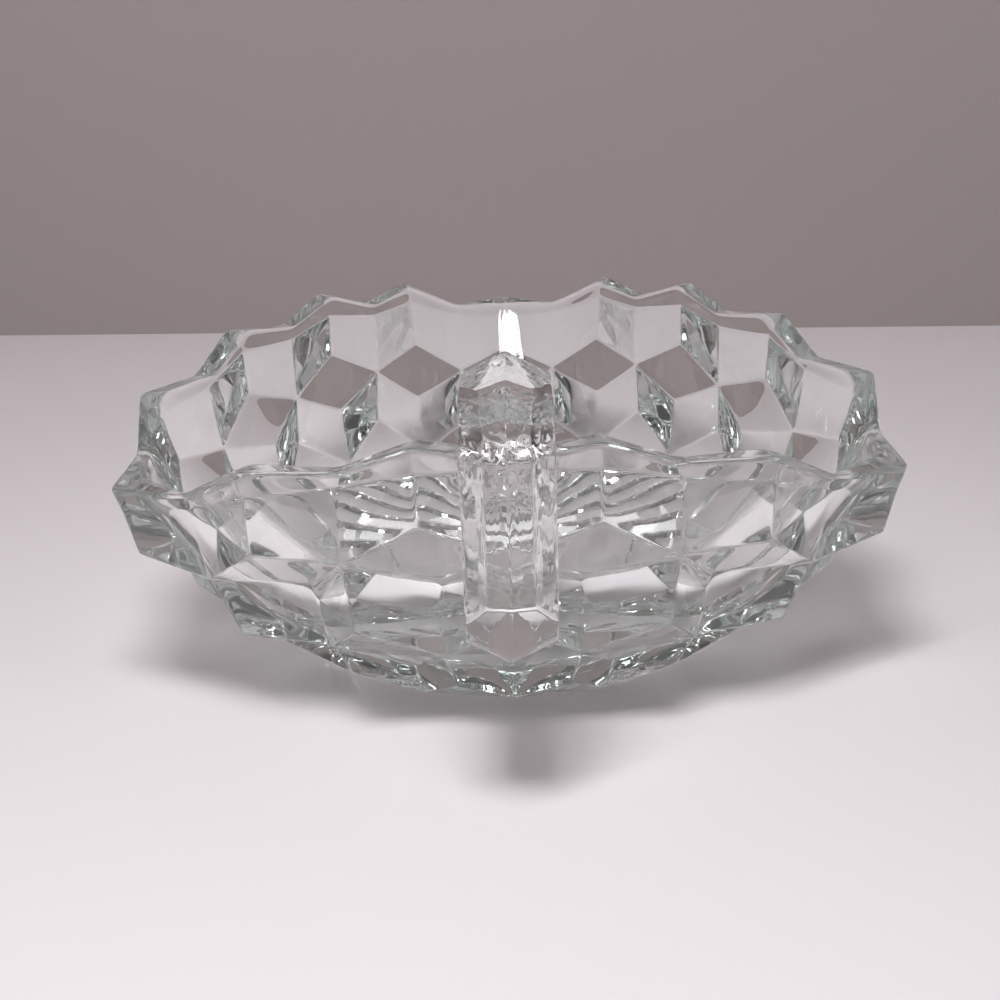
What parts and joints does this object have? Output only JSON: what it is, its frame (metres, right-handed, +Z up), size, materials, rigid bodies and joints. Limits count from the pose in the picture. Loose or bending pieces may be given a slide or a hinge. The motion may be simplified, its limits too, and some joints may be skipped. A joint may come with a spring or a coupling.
{
  "type": "handled nappy bowl",
  "caption": "Three-cornered nappy bowl in clear pressed glass, with tumbling-block relief outside, a smooth round inside, a rayed underside, a zigzag rim and a ridged loop handle on one side.",
  "frame": {"origin": "middle of the flat face under the foot, where the bowl stands", "axes": "+Z up out of the bowl, -Y out through the handle, +Y to the rim corner opposite the handle"},
  "size_m": [0.1272, 0.1472, 0.0655],
  "materials": {
    "clear_glass": "fire-polished clear pressed glass, faintly green in its thick edges"
  },
  "bodies": {
    "root": {"bowl_body": "clear_glass", "loop_handle": "clear_glass"}
  },
  "joints": []
}
